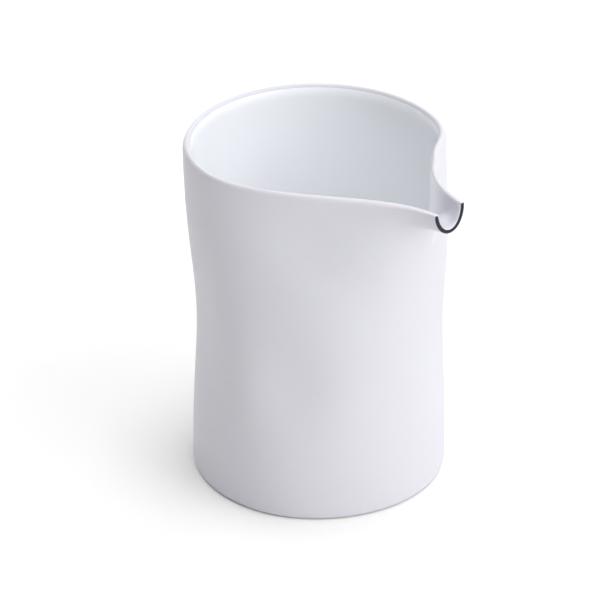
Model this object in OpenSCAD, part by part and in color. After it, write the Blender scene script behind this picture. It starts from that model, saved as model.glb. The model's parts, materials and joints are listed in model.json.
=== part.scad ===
// Porcelain pouring jug for melted wax: a thin, hand-squeezed wall with a pinched spout,
// a clear glaze on the inside and one fired dark line round the lip of the spout.
// Millimetres, +Z up, the origin in the middle of the foot, the spout along +X. The + side of
// the spout is towards +Y, on the left when seen from behind it.

/* [Overall] */
// Height from the table to the top of the rim
jug_h = 110; // [90:1:140]
// Outside radius where the wall meets the foot
base_r = 39.5; // [34:0.5:48]
// Outside radius of the rim before it is squeezed
rim_r = 40.7; // [36:0.1:48]
// Thickness of the porcelain wall
wall_t = 2.7; // [1.8:0.1:3.4]
// Thickness of the floor
floor_t = 3.2; // [2:0.2:6]
// Inside radius where the wall turns into the floor
floor_round = 6; // [3:0.5:10]
// Radius of the round edge of the foot
foot_round = 1.4; // [0.6:0.1:2]
// Height over which the inside turns over into the rim
rim_turn = 3; // [2:0.1:4]
// Height over which the outside turns over into the rim
rim_roll = 2.2; // [1.4:0.1:3]

/* [Spout] */
// Distance from the jug's middle to the tip of the spout at the height of the rim
spout_reach = 55.2; // [50:0.2:67]
// How much farther out the bottom of the mouth reaches than its two tips
mouth_belly = 0.5; // [0:0.1:3]
// Outside width of the mouth
mouth_w = 12.4; // [8:0.2:16]
// Drop from the two tips of the mouth to its bottom
mouth_depth = 7.4; // [4:0.2:9]
// How far the rim dips on its way to the mouth
mouth_dip = 0.7; // [0:0.1:2]
// Thickness of the lip of the mouth
lip_t = 1.7; // [1.2:0.1:2.4]
// Height of wall, below the rim, that is drawn out to form the spout
spout_fall = 26; // [18:0.5:36]
// Length over which the sides run nearly straight to the mouth
channel_len = 16.5; // [12:0.5:22]
// How far each side opens over that length
channel_open = 2.4; // [0:0.2:6]

/* [Squeezed wall] */
// Depth of the waist that runs right round
waist_depth = 1.5; // [0:0.1:3]
// Height of the waist
waist_z = 50; // [30:1:80]
// Height over which the waist fades out
waist_tall = 16; // [10:0.5:30]
// Depth of the flat pressed into the rim on the - side of the spout
front_flat = 6.5; // [0:0.1:7]
// Depth of the smaller flat on the + side of the spout
side_flat = 3.4; // [0:0.1:5]
// Depth of the pinch in the wall under the - side flank of the spout
pinch_mark = 2.7; // [0:0.1:4]
// Depth of the thumb mark below the pinch
thumb_mark = 2; // [0:0.1:3]
// How far the wall swells between the thumb mark and the palm mark
swell = 1.6; // [0:0.1:3]
// Depth of the palm mark about a third of the way round from the spout
palm_mark = 2.4; // [0:0.1:4]

/* [Coats] */
// Thickness of the clear glaze inside
glaze_t = 0.25; // [0.15:0.05:0.5]
// Thickness of the fired dark line on the lip
line_t = 0.15; // [0.1:0.05:0.4]

/* [Hidden] */
// Half of the angle, about the jug's middle, whose wall goes into the round of the mouth
mouth_a = 14;
// Angles at which the two flanks of the spout leave the wall: + side and - side
flank_a = [28.5, 87];
// How far each flank follows the wall before it turns to the spout
flank_lead = [3.5, 21];
// How far the hand has pushed the rim off the middle of the foot
rim_shift = [-0.4, -0.4, 0];
// How far the mouth sits to the - side of the line through the jug's middle
mouth_shift = 0.5;
// Marks of the hand: angle, half width in degrees, height, half height, depth, and how many
// degrees the mark leans round for each millimetre up
marks = [
    [-45, 28.5, jug_h, 30, front_flat, 0.5],
    [38, 10, jug_h, 14, side_flat, 0],
    [-39, 18, 88, 9.5, pinch_mark, -1],
    [-58, 13, 45, 10, thumb_mark, 0],
    [-78, 13, 45, 26, -swell, -0.3],
    [-116, 15, 55.5, 21.5, palm_mark, 0]
];
// How fast the spout fades into the wall below it: + side and - side
spout_fade = [1.8, 3.4];

// How square the rim is cut at the mouth, and the angle over which it turns round again
square_end = 0.4;
square_fade = 8;
// Angle over which the thin lip thickens to the full wall
lip_fade = 8;
// Turns over the rim between which the dark line lies
line_turns = [30, 105];

// Height of the middle of the rounded rim, where its line is drawn
rim_z = jug_h - wall_t / 2;
// Height at which the inside starts to turn into the floor
turn_z = floor_t + floor_round;
// Material left under the foot before it is ground flat
grind = 1;
// Turns round the edge of the foot, from the side of the wall to where it is ground
foot_turns = [0, 25, 50, 70];

// Turn over the rim at which the clear glaze has thinned to nothing
glaze_edge = 135;
// Least distance from the turn of the rim down to the next ring of the wall
rim_gap = 0.8;

// Steps of the surface: angles about the middle, and heights
mouth_cols = 12;
flank_cols = [8, 12];
wall_cols = 44;
low_rings = 11;
high_rings = 10;
rim_step = 15;
turn_steps = 3;
// Small moves along the surface that give its slope
da = 0.3;
dz = 0.3;

function steps(from, to, n) = [for (i = [0:n - 1]) from + (to - from) * i / n];

cols = concat(
    steps(-mouth_a, mouth_a, mouth_cols),
    steps(mouth_a, flank_a[0], flank_cols[0]),
    steps(flank_a[0], 360 - flank_a[1], wall_cols),
    steps(360 - flank_a[1], 360 - mouth_a, flank_cols[1])
);
high_z = rim_z - spout_fall;
low_z = steps(turn_z, high_z, low_rings);
top_z = steps(high_z, rim_z, high_rings);
heights = concat(low_z, top_z);

function ease(x) = x * x * (3 - 2 * x);
function bell(x) = exp(-x * x / 2);
function unit(v) = v / norm(v);
// An angle brought to between -180 and 180
function near(a) = a > 180 ? near(a - 360) : a < -180 ? near(a + 360) : a;
function total(v, i = 0) = i < len(v) ? v[i] + total(v, i + 1) : 0;
function bezier(p, q) =
    pow(1 - q, 3) * p[0] + 3 * q * pow(1 - q, 2) * p[1] + 3 * q * q * (1 - q) * p[2] + pow(q, 3) * p[3];

function mark(m, a, z) =
    m[4] * bell(near(a - m[0] - m[5] * (z - m[2])) / m[1]) * bell((z - m[2]) / m[3]);

// Outside radius of the squeezed wall, without the spout
function wall_r(a, z) =
    base_r + (rim_r - base_r) * ease(z / jug_h)
    - waist_depth * bell((z - waist_z) / waist_tall)
    - total([for (m = marks) mark(m, a, z)]);

function on_wall(a, z) = [wall_r(a, z) * cos(a), wall_r(a, z) * sin(a), z] + ease(z / jug_h) * rim_shift;

// The mouth of the spout: half an ellipse that hangs from the rim
function mouth(a) =
    let (turn = 90 * a / mouth_a)
    [
        spout_reach + mouth_belly * cos(turn),
        mouth_w / 2 * sin(turn) - mouth_shift,
        rim_z - mouth_dip - mouth_depth * cos(turn)
    ];

// Control points of one flank of the rim, from the mouth to where it meets the wall
function flank_points(side) =
    let (
        k = side > 0 ? 0 : 1,
        tip = mouth(side * mouth_a),
        end_a = side * flank_a[k],
        end = on_wall(end_a, rim_z),
        along = unit(on_wall(end_a - side * da, rim_z) - end)
    )
    [tip, tip + [-channel_len, side * channel_open, 0], end + flank_lead[k] * along, end];

plus_flank = flank_points(1);
minus_flank = flank_points(-1);

// Top edge of the outer skin at each angle
function rim_line(a) =
    abs(a) <= mouth_a ? mouth(a)
    : a > 0 && a < flank_a[0] ? bezier(plus_flank, (a - mouth_a) / (flank_a[0] - mouth_a))
    : a < 0 && a > -flank_a[1] ? bezier(minus_flank, (-a - mouth_a) / (flank_a[1] - mouth_a))
    : on_wall(a, rim_z);

// How fast the spout fades at each angle
function fade(a) =
    let (share = ease(min(1, max(0, (near(a) + mouth_a) / (2 * mouth_a)))))
    spout_fade[1] + share * (spout_fade[0] - spout_fade[1]);

// How far the wall is drawn out at each height: 0 below the spout, 1 at the rim
function drawn(a, z) = pow(max(0, 1 - (rim_z - z) / spout_fall), fade(a));

// Outer skin: the squeezed wall, drawn out to the rim line over the height of the spout
function skin(angle, z) =
    let (a = near(angle))
    on_wall(a, z) + drawn(a, z) * (rim_line(a) - on_wall(a, rim_z));

// Angle past the edge of the mouth, 0 within it
function past_mouth(a) = max(0, abs(near(a)) - mouth_a);

// Thickness of the wall, which thins to the lip of the mouth
function thick(a, z) = wall_t - (wall_t - lip_t) * bell(past_mouth(a) / lip_fade) * drawn(a, z);

function up_dir(a, z) = unit(skin(a, z) - skin(a, z - dz));
function out_dir(a, z) = unit(cross(skin(a + da, z) - skin(a - da, z), up_dir(a, z)));

// A point at some depth inside the outer skin
function under(a, z, depth) = skin(a, z) - depth * out_dir(a, z);

// A point on the rim, from the outer skin at turn 0 to the inner one at 180
function rim_point(a, turn, proud = 0) =
    let (
        half = thick(a, rim_z) / 2,
        sharp = 1 - square_end * bell(past_mouth(a) / square_fade),
        across = sign(cos(turn)) * pow(abs(cos(turn)), sharp),
        rise = pow(abs(sin(turn)), sharp),
        fall = (half + proud) * 2 * (turn > 90 ? rim_turn : rim_roll) / wall_t
    )
    under(a, rim_z, half)
    + out_dir(a, rim_z) * (half + proud) * across
    + up_dir(a, rim_z) * (half + proud - fall * (1 - rise));

// Rings of points, one point for each column
function skin_ring(z) = [for (a = cols) skin(a, z)];
function inner_ring(z, coat) = [for (a = cols) under(a, z, thick(a, z) + coat)];
function rim_ring(turn, proud = 0) = [for (a = cols) rim_point(a, turn, proud)];
function foot_ring(turn) = [
    for (a = cols)
        let (r = wall_r(near(a), 0) - foot_round * (1 - cos(turn)))
        [r * cos(a), r * sin(a), foot_round * (1 - sin(turn))]
];
function ground_ring() = [
    for (a = cols)
        let (r = wall_r(near(a), 0) - foot_round)
        [r * cos(a), r * sin(a), -grind]
];
function floor_ring(turn, coat) =
    let (r = floor_round - coat)
    [
        for (a = cols)
            let (p = under(a, turn_z, thick(a, turn_z) + coat), shrink = r * (1 - cos(turn)))
            [p.x - shrink * cos(a), p.y - shrink * sin(a), turn_z - r * sin(turn)]
    ];

// Inside of the jug from the floor up, at the depth of the bare wall or of its coat
function inside(coat) = concat(
    [for (i = [turn_steps:-1:0]) floor_ring(90 * i / turn_steps, coat)],
    [for (z = heights) if (z > turn_z && z < jug_h - rim_turn - rim_gap) inner_ring(z, coat)]
);

function backwards(v) = [for (i = [len(v) - 1:-1:0]) v[i]];

// The two faces of one square of the skin, split along its shorter diagonal, so that two
// pieces that share the corners of a square also share its faces
function square_faces(rings, j, i) =
    let (
        n = len(rings[0]),
        next = (i + 1) % n,
        a = j * n + i,
        b = (j + 1) * n + i,
        c = (j + 1) * n + next,
        d = j * n + next,
        across_ac = norm(rings[j][i] - rings[j + 1][next]),
        across_bd = norm(rings[j + 1][i] - rings[j][next])
    )
    across_ac < across_bd ? [[a, b, c], [a, c, d]] : [[a, b, d], [b, c, d]];

// Skin over rings of points with a flat face at both ends
module loft(rings) {
    n = len(rings[0]);
    last = (len(rings) - 1) * n;
    polyhedron(
        points = [for (r = rings, p = r) p],
        faces = concat(
            [[for (i = [0:n - 1]) i]],
            [for (j = [0:len(rings) - 2], i = [0:n - 1], f = square_faces(rings, j, i)) f],
            [[for (i = [n - 1:-1:0]) last + i]]
        ),
        convexity = 6
    );
}

// The porcelain shell, ground flat underneath
module body() {
    color("white")
    difference() {
        loft(concat(
            [ground_ring()],
            [for (turn = backwards(foot_turns)) foot_ring(turn)],
            [for (z = heights) if (z < jug_h - rim_roll - rim_gap) skin_ring(z)],
            [for (turn = [0:rim_step:180]) rim_ring(turn)],
            backwards(inside(0))
        ));
        translate([0, 0, -2 * grind])
            cylinder(h = 2 * grind, r = 2 * base_r);
    }
}

// The clear coat inside, thinning to nothing as it turns over into the rim
module inner_glaze() {
    thinning = [for (turn = [glaze_edge + rim_step:rim_step:180])
        rim_ring(turn, glaze_t * (turn - glaze_edge) / (180 - glaze_edge))];
    color("azure")
    loft(concat(
        inside(0),
        [for (turn = [180:-rim_step:glaze_edge]) rim_ring(turn)],
        thinning,
        backwards(inside(glaze_t))
    ));
}

// The dark line fired over the lip, round the mouth of the spout
module lip_line() {
    on_turns = [line_turns[0]:rim_step:line_turns[1]];
    proud_turns = [line_turns[1] - rim_step:-rim_step:line_turns[0] + rim_step];
    color("midnightblue")
    loft([
        for (a = steps(-mouth_a, mouth_a + 2 * mouth_a / mouth_cols, mouth_cols + 1))
            concat(
                [for (turn = on_turns) rim_point(a, turn)],
                [for (turn = proud_turns) rim_point(a, turn, line_t)]
            )
    ]);
}

body();
inner_glaze();
lip_line();
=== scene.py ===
"""Porcelain pouring jug: smooth porcelain shell, glazed inside, fired line round the lip."""
import json
import math

import bpy
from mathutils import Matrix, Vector

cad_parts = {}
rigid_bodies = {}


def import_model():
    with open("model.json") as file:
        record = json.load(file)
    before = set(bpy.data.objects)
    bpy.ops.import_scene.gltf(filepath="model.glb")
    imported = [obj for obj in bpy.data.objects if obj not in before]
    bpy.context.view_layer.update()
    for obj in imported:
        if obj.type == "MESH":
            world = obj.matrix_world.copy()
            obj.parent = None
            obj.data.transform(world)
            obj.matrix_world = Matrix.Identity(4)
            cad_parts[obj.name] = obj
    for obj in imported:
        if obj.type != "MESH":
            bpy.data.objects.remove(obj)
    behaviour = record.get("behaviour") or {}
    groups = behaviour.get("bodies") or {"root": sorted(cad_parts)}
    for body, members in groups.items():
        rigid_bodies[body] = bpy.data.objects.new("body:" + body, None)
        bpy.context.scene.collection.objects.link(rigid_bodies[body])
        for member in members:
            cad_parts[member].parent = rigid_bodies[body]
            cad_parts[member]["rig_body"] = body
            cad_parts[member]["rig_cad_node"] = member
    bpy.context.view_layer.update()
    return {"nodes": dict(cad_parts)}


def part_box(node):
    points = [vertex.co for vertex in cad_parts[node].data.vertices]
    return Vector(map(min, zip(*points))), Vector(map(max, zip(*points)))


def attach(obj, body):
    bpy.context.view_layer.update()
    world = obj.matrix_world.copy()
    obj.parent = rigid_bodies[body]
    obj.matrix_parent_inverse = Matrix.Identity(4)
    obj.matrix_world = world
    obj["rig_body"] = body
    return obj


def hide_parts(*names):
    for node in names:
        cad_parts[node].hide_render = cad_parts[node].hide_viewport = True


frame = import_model()

MM = 0.001
JUG_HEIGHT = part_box("body")[1].z
JUG_MIDDLE = Vector((0, 0, JUG_HEIGHT / 2))

# Camera: turned from the front to the right of the spout, looking down on the jug
CAMERA_TURN = 46.05
CAMERA_TILT = 29.3
CAMERA_AWAY = 1.25
LENS = 243.7
SENSOR = 36
SHIFT_X = -0.0313
SHIFT_Y = 0.0005


# ---------------------------------------------------------------- modelling

# Points of a CAD node that are closer than this are one point
MERGE = 0.005 * MM
# Two triangles are joined into a quad if they bend and skew less than this, in degrees
QUAD_BEND = 60
QUAD_SKEW = 80
# A face whose middle is this low and whose normal points this far down is on the ground
TOUCHING = 0.01 * MM
DOWNWARD = -0.99


def deselect():
    if bpy.context.object and bpy.context.object.mode != "OBJECT":
        bpy.ops.object.mode_set(mode="OBJECT")
    bpy.ops.object.select_all(action="DESELECT")


def pick(piece):
    """Make one piece the only selected and active one."""
    deselect()
    piece.select_set(True)
    bpy.context.view_layer.objects.active = piece


def copy_of_node(node, name):
    """A merged copy of a CAD node, with its triangles joined back into quads."""
    pick(frame["nodes"][node])
    bpy.ops.object.duplicate()
    piece = bpy.context.object
    piece.name = name
    piece.data.name = name
    piece.parent = None
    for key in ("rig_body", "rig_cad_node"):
        if key in piece:
            del piece[key]
    bpy.ops.object.mode_set(mode="EDIT")
    bpy.ops.mesh.select_mode(type="FACE")
    bpy.ops.mesh.select_all(action="SELECT")
    bpy.ops.mesh.remove_doubles(threshold=MERGE)
    bpy.ops.mesh.tris_convert_to_quads(
        face_threshold=math.radians(QUAD_BEND), shape_threshold=math.radians(QUAD_SKEW))
    bpy.ops.object.mode_set(mode="OBJECT")
    return piece


def border_ground(piece, width):
    """Join the faces of the flat foot into one, with a narrow border that keeps it flat."""
    pick(piece)
    bpy.ops.object.mode_set(mode="EDIT")
    bpy.ops.mesh.select_mode(type="FACE")
    bpy.ops.mesh.select_all(action="DESELECT")
    bpy.ops.object.mode_set(mode="OBJECT")
    for face in piece.data.polygons:
        face.select = face.center.z < TOUCHING and face.normal.z < DOWNWARD
    bpy.ops.object.mode_set(mode="EDIT")
    bpy.ops.mesh.dissolve_faces()
    bpy.ops.mesh.inset(thickness=width)
    bpy.ops.object.mode_set(mode="OBJECT")


def hold_sharp(piece, angle, below=math.inf):
    """Crease the edges that turn by more than an angle, unless they lie above a height."""
    pick(piece)
    bpy.ops.object.mode_set(mode="EDIT")
    bpy.ops.mesh.select_mode(type="EDGE")
    bpy.ops.mesh.select_all(action="DESELECT")
    bpy.ops.mesh.edges_select_sharp(sharpness=math.radians(angle))
    bpy.ops.object.mode_set(mode="OBJECT")
    points = piece.data.vertices
    for edge in piece.data.edges:
        if all(points[i].co.z > below for i in edge.vertices):
            edge.select = False
    bpy.ops.object.mode_set(mode="EDIT")
    bpy.ops.transform.edge_crease(value=1)
    bpy.ops.object.mode_set(mode="OBJECT")


def smooth_out(piece, levels, angle):
    """Subdivide a piece into a smooth surface, shaded smooth except across its sharp edges."""
    pick(piece)
    bpy.ops.object.modifier_add(type="SUBSURF")
    subdivision = piece.modifiers[-1]
    subdivision.levels = levels
    subdivision.render_levels = levels
    bpy.ops.object.modifier_apply(modifier=subdivision.name)
    bpy.ops.object.shade_smooth_by_angle(angle=math.radians(angle))


# ---------------------------------------------------------------- materials

# Fineness of the colour drift, of the grain and of the waver along the edge of a band
DRIFT_DETAIL = 3
GRAIN_DETAIL = 4
GRAIN_ROUGHNESS = 0.6
WAVER_SCALE = 60


def new_material(name):
    material = bpy.data.materials.new(name)
    material.use_nodes = True
    nodes = material.node_tree.nodes
    return material, nodes, material.node_tree.links, nodes["Principled BSDF"]


def surface_group():
    """Fired-clay surface: soft colour drift, roughness drift and a fine bump height."""
    group = bpy.data.node_groups.new("fired_surface", "ShaderNodeTree")
    face = group.interface
    for name, kind in (("Light Colour", "NodeSocketColor"), ("Deep Colour", "NodeSocketColor"),
                       ("Rough Low", "NodeSocketFloat"), ("Rough High", "NodeSocketFloat"),
                       ("Drift Size", "NodeSocketFloat"), ("Grain Size", "NodeSocketFloat"),
                       ("Grain Share", "NodeSocketFloat")):
        face.new_socket(name=name, in_out="INPUT", socket_type=kind)
    for name, kind in (("Colour", "NodeSocketColor"), ("Roughness", "NodeSocketFloat"),
                       ("Height", "NodeSocketFloat")):
        face.new_socket(name=name, in_out="OUTPUT", socket_type=kind)
    nodes, links = group.nodes, group.links
    start = nodes.new("NodeGroupInput")
    end = nodes.new("NodeGroupOutput")
    where = nodes.new("ShaderNodeTexCoord")

    drift = nodes.new("ShaderNodeTexNoise")
    drift.inputs["Detail"].default_value = DRIFT_DETAIL
    links.new(where.outputs["Object"], drift.inputs["Vector"])
    links.new(start.outputs["Drift Size"], drift.inputs["Scale"])
    colour = nodes.new("ShaderNodeMix")
    colour.data_type = "RGBA"
    links.new(drift.outputs["Fac"], colour.inputs["Factor"])
    links.new(start.outputs["Light Colour"], colour.inputs["A"])
    links.new(start.outputs["Deep Colour"], colour.inputs["B"])
    links.new(colour.outputs["Result"], end.inputs["Colour"])

    grain = nodes.new("ShaderNodeTexNoise")
    grain.inputs["Detail"].default_value = GRAIN_DETAIL
    grain.inputs["Roughness"].default_value = GRAIN_ROUGHNESS
    links.new(where.outputs["Object"], grain.inputs["Vector"])
    links.new(start.outputs["Grain Size"], grain.inputs["Scale"])
    rough = nodes.new("ShaderNodeMapRange")
    links.new(grain.outputs["Fac"], rough.inputs["Value"])
    links.new(start.outputs["Rough Low"], rough.inputs["To Min"])
    links.new(start.outputs["Rough High"], rough.inputs["To Max"])
    links.new(rough.outputs["Result"], end.inputs["Roughness"])

    height = nodes.new("ShaderNodeMix")
    height.data_type = "FLOAT"
    links.new(start.outputs["Grain Share"], height.inputs["Factor"])
    links.new(drift.outputs["Fac"], height.inputs["A"])
    links.new(grain.outputs["Fac"], height.inputs["B"])
    links.new(height.outputs["Result"], end.inputs["Height"])
    return group


def band_group():
    """Mask that rises from 0 to 1 between two distances along an axis, with a wavering edge."""
    group = bpy.data.node_groups.new("axis_band", "ShaderNodeTree")
    face = group.interface
    face.new_socket(name="Axis", in_out="INPUT", socket_type="NodeSocketVector")
    for name in ("Low", "High", "Waver"):
        face.new_socket(name=name, in_out="INPUT", socket_type="NodeSocketFloat")
    face.new_socket(name="Mask", in_out="OUTPUT", socket_type="NodeSocketFloat")
    nodes, links = group.nodes, group.links
    start = nodes.new("NodeGroupInput")
    end = nodes.new("NodeGroupOutput")
    where = nodes.new("ShaderNodeTexCoord")
    along = nodes.new("ShaderNodeVectorMath")
    along.operation = "DOT_PRODUCT"
    links.new(where.outputs["Object"], along.inputs[0])
    links.new(start.outputs["Axis"], along.inputs[1])
    ripple = nodes.new("ShaderNodeTexNoise")
    ripple.inputs["Scale"].default_value = WAVER_SCALE
    links.new(where.outputs["Object"], ripple.inputs["Vector"])
    edge = nodes.new("ShaderNodeMath")
    edge.operation = "MULTIPLY_ADD"
    links.new(ripple.outputs["Fac"], edge.inputs[0])
    links.new(start.outputs["Waver"], edge.inputs[1])
    links.new(along.outputs["Value"], edge.inputs[2])
    band = nodes.new("ShaderNodeMapRange")
    band.interpolation_type = "SMOOTHSTEP"
    links.new(edge.outputs["Value"], band.inputs["Value"])
    links.new(start.outputs["Low"], band.inputs["From Min"])
    links.new(start.outputs["High"], band.inputs["From Max"])
    links.new(band.outputs["Result"], end.inputs["Mask"])
    return group


def fired_material(name, values, bands, bump_height, settings):
    """A material whose colour, roughness and bump come from the fired surface.

    Below the low end of each band the surface takes the band's own colour and roughness.
    """
    material, nodes, links, shader = new_material(name)
    surface = nodes.new("ShaderNodeGroup")
    surface.node_tree = fired_surface
    for key, value in values.items():
        surface.inputs[key].default_value = value
    colour = surface.outputs["Colour"]
    rough = surface.outputs["Roughness"]
    for band in bands:
        mask = nodes.new("ShaderNodeGroup")
        mask.node_tree = axis_band
        mask.inputs["Axis"].default_value = band["Axis"]
        for key in ("Low", "High", "Waver"):
            mask.inputs[key].default_value = band[key] * MM
        tint = nodes.new("ShaderNodeMix")
        tint.data_type = "RGBA"
        tint.inputs["A"].default_value = band["Colour"]
        links.new(mask.outputs["Mask"], tint.inputs["Factor"])
        links.new(colour, tint.inputs["B"])
        colour = tint.outputs["Result"]
        matt = nodes.new("ShaderNodeMix")
        matt.data_type = "FLOAT"
        matt.inputs["A"].default_value = band["Roughness"]
        links.new(mask.outputs["Mask"], matt.inputs["Factor"])
        links.new(rough, matt.inputs["B"])
        rough = matt.outputs["Result"]
    links.new(colour, shader.inputs["Base Color"])
    links.new(rough, shader.inputs["Roughness"])

    bump = nodes.new("ShaderNodeBump")
    bump.inputs["Distance"].default_value = bump_height * MM
    links.new(surface.outputs["Height"], bump.inputs["Height"])
    links.new(bump.outputs["Normal"], shader.inputs["Normal"])
    for key, value in settings.items():
        shader.inputs[key].default_value = value
    return material


def dress(piece, material):
    piece.data.materials.clear()
    piece.data.materials.append(material)


# ---------------------------------------------------------------- the jug

fired_surface = surface_group()
axis_band = band_group()

# Bands are in millimetres: the rough ground ring of the foot, whose darker colour is painted
# contact shade, the glaze pooled over the floor, painted shade in the channel of the spout, and
# the thick start of the dark line low in the mouth
UP = (0, 0, 1)
BACK = (-1, 0, 0)
porcelain = fired_material(
    "bisque_porcelain",
    {"Light Colour": (0.69, 0.69, 0.745, 1), "Deep Colour": (0.665, 0.66, 0.715, 1),
     "Rough Low": 0.45, "Rough High": 0.62, "Drift Size": 18.0, "Grain Size": 1500.0,
     "Grain Share": 0.5},
    # Foot ring: the roughness is the ground clay; the darker colour is painted contact shade
    # where the jug meets the floor
    [{"Axis": UP, "Low": 0.3, "High": 1.3, "Waver": 0.5, "Colour": (0.53, 0.515, 0.52, 1),
      "Roughness": 0.85}],
    0.06,
    {"Subsurface Weight": 0.15, "Subsurface Scale": 0.002, "Specular IOR Level": 0.4})
glaze = fired_material(
    "clear_glaze",
    {"Light Colour": (0.94, 0.955, 0.985, 1), "Deep Colour": (0.925, 0.94, 0.97, 1),
     "Rough Low": 0.3, "Rough High": 0.42, "Drift Size": 30.0, "Grain Size": 700.0,
     "Grain Share": 0.2},
    [{"Axis": UP, "Low": 3.0, "High": 18.0, "Waver": 6.0, "Colour": (0.88, 0.915, 0.93, 1),
      "Roughness": 0.2},
     # Spout channel: painted shade, the glaze coloured darker where the channel lies in shadow
     {"Axis": BACK, "Low": -50.0, "High": -38.0, "Waver": 2.0, "Colour": (0.63, 0.625, 0.69, 1),
      "Roughness": 0.5}],
    0.06,
    {"Coat Weight": 0.4, "Coat Roughness": 0.15, "Specular IOR Level": 0.4})
dark_line = fired_material(
    "fired_line",
    {"Light Colour": (0.010, 0.008, 0.022, 1), "Deep Colour": (0.02, 0.014, 0.045, 1),
     "Rough Low": 0.32, "Rough High": 0.5, "Drift Size": 300.0, "Grain Size": 2500.0,
     "Grain Share": 0.6},
    [{"Axis": UP, "Low": 100.0, "High": 104.0, "Waver": 1.0,
      "Colour": (0.006, 0.005, 0.014, 1), "Roughness": 0.3}],
    0.03,
    {"Specular IOR Level": 0.3})

# Edges that turn by more than this many degrees are real corners
CORNER = 50
# The two ends of the dark stroke are rounded over this height, as a brush leaves them
STROKE_END = 1.6 * MM
SMOOTH_LEVELS = 2

# Width of the border round the flat of the foot
GROUND_BORDER = 0.6 * MM

shell = copy_of_node("body", "porcelain_shell")
border_ground(shell, GROUND_BORDER)
hold_sharp(shell, CORNER)
smooth_out(shell, SMOOTH_LEVELS, CORNER)
dress(shell, porcelain)

coat = copy_of_node("inner_glaze", "glaze_coat")
hold_sharp(coat, CORNER)
smooth_out(coat, SMOOTH_LEVELS, CORNER)
dress(coat, glaze)

lip = copy_of_node("lip_line", "lip_stroke")
hold_sharp(lip, CORNER, below=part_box("lip_line")[1].z - STROKE_END)
smooth_out(lip, SMOOTH_LEVELS, CORNER)
dress(lip, dark_line)

for piece, node in ((shell, "body"), (coat, "inner_glaze"), (lip, "lip_line")):
    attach(piece, "root")
    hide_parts(node)
deselect()


# ---------------------------------------------------------------- studio

FLOOR_WIDTH = 8
FLOOR_COLOUR = (0.95, 0.94, 0.935, 1)
FLOOR_ROUGHNESS = 0.9
AIR_COLOUR = (0.97, 0.98, 1.0, 1)
AIR_STRENGTH = 0.05

# Square soft lights: name, power in watts, width in metres, degrees round from the camera
# towards its right, and degrees up from the table
LIGHTS = (
    ("right_window", 9.8, 1.2, 60, 15),
    ("front_window", 8.2, 1.2, 30, 45),
    ("front_left", 4.6, 1.2, 330, 45),
    ("right_wall", 7.4, 1.2, 90, 45),
    ("back_right", 8.2, 1.2, 150, 45),
    ("back_left_low", 10.8, 1.2, 210, 14),
    ("back_left_high", 3.6, 0.8, 240, 68),
    ("overhead", 6, 0.6, 90, 86),
)
LIGHT_AWAY = 1.6

# Distances between which the camera sees, in metres
SEES_FROM = 0.05
SEES_TO = 50


def direction(turn, tilt):
    """Direction away from the jug, turned from its front and tilted up, in degrees."""
    turn, tilt = math.radians(turn), math.radians(tilt)
    return Vector((math.sin(turn) * math.cos(tilt), -math.cos(turn) * math.cos(tilt),
                   math.sin(tilt)))


def face_the_jug(thing, away):
    """Turn a light or a camera that stands in this direction towards the jug."""
    thing.rotation_euler = away.to_track_quat("Z", "Y").to_euler()


def add_floor():
    bpy.ops.mesh.primitive_plane_add(size=FLOOR_WIDTH, location=(0, 0, 0))
    floor = bpy.context.object
    floor.name = "studio_floor"
    material, _, _, shader = new_material("studio_paper")
    shader.inputs["Base Color"].default_value = FLOOR_COLOUR
    shader.inputs["Roughness"].default_value = FLOOR_ROUGHNESS
    shader.inputs["Specular IOR Level"].default_value = 0
    floor.data.materials.append(material)


def add_light(name, power, width, turn, tilt):
    away = direction(CAMERA_TURN + turn, tilt)
    bpy.ops.object.light_add(type="AREA", location=JUG_MIDDLE + LIGHT_AWAY * away)
    light = bpy.context.object
    light.name = name
    light.data.shape = "SQUARE"
    light.data.size = width
    light.data.energy = power
    face_the_jug(light, away)


def add_air():
    """A faint even light from all round."""
    world = bpy.data.worlds.new("studio_air")
    world.use_nodes = True
    background = world.node_tree.nodes["Background"]
    background.inputs["Color"].default_value = AIR_COLOUR
    background.inputs["Strength"].default_value = AIR_STRENGTH
    bpy.context.scene.world = world


def add_camera():
    away = direction(CAMERA_TURN, CAMERA_TILT)
    bpy.ops.object.camera_add(location=JUG_MIDDLE + CAMERA_AWAY * away)
    camera = bpy.context.object
    camera.name = "camera"
    face_the_jug(camera, away)
    camera.data.lens = LENS
    camera.data.sensor_width = SENSOR
    camera.data.shift_x = SHIFT_X
    camera.data.shift_y = SHIFT_Y
    camera.data.clip_start = SEES_FROM
    camera.data.clip_end = SEES_TO
    bpy.context.scene.camera = camera


add_floor()
for light in LIGHTS:
    add_light(*light)
add_air()
add_camera()
bpy.context.scene.view_settings.view_transform = "Standard"
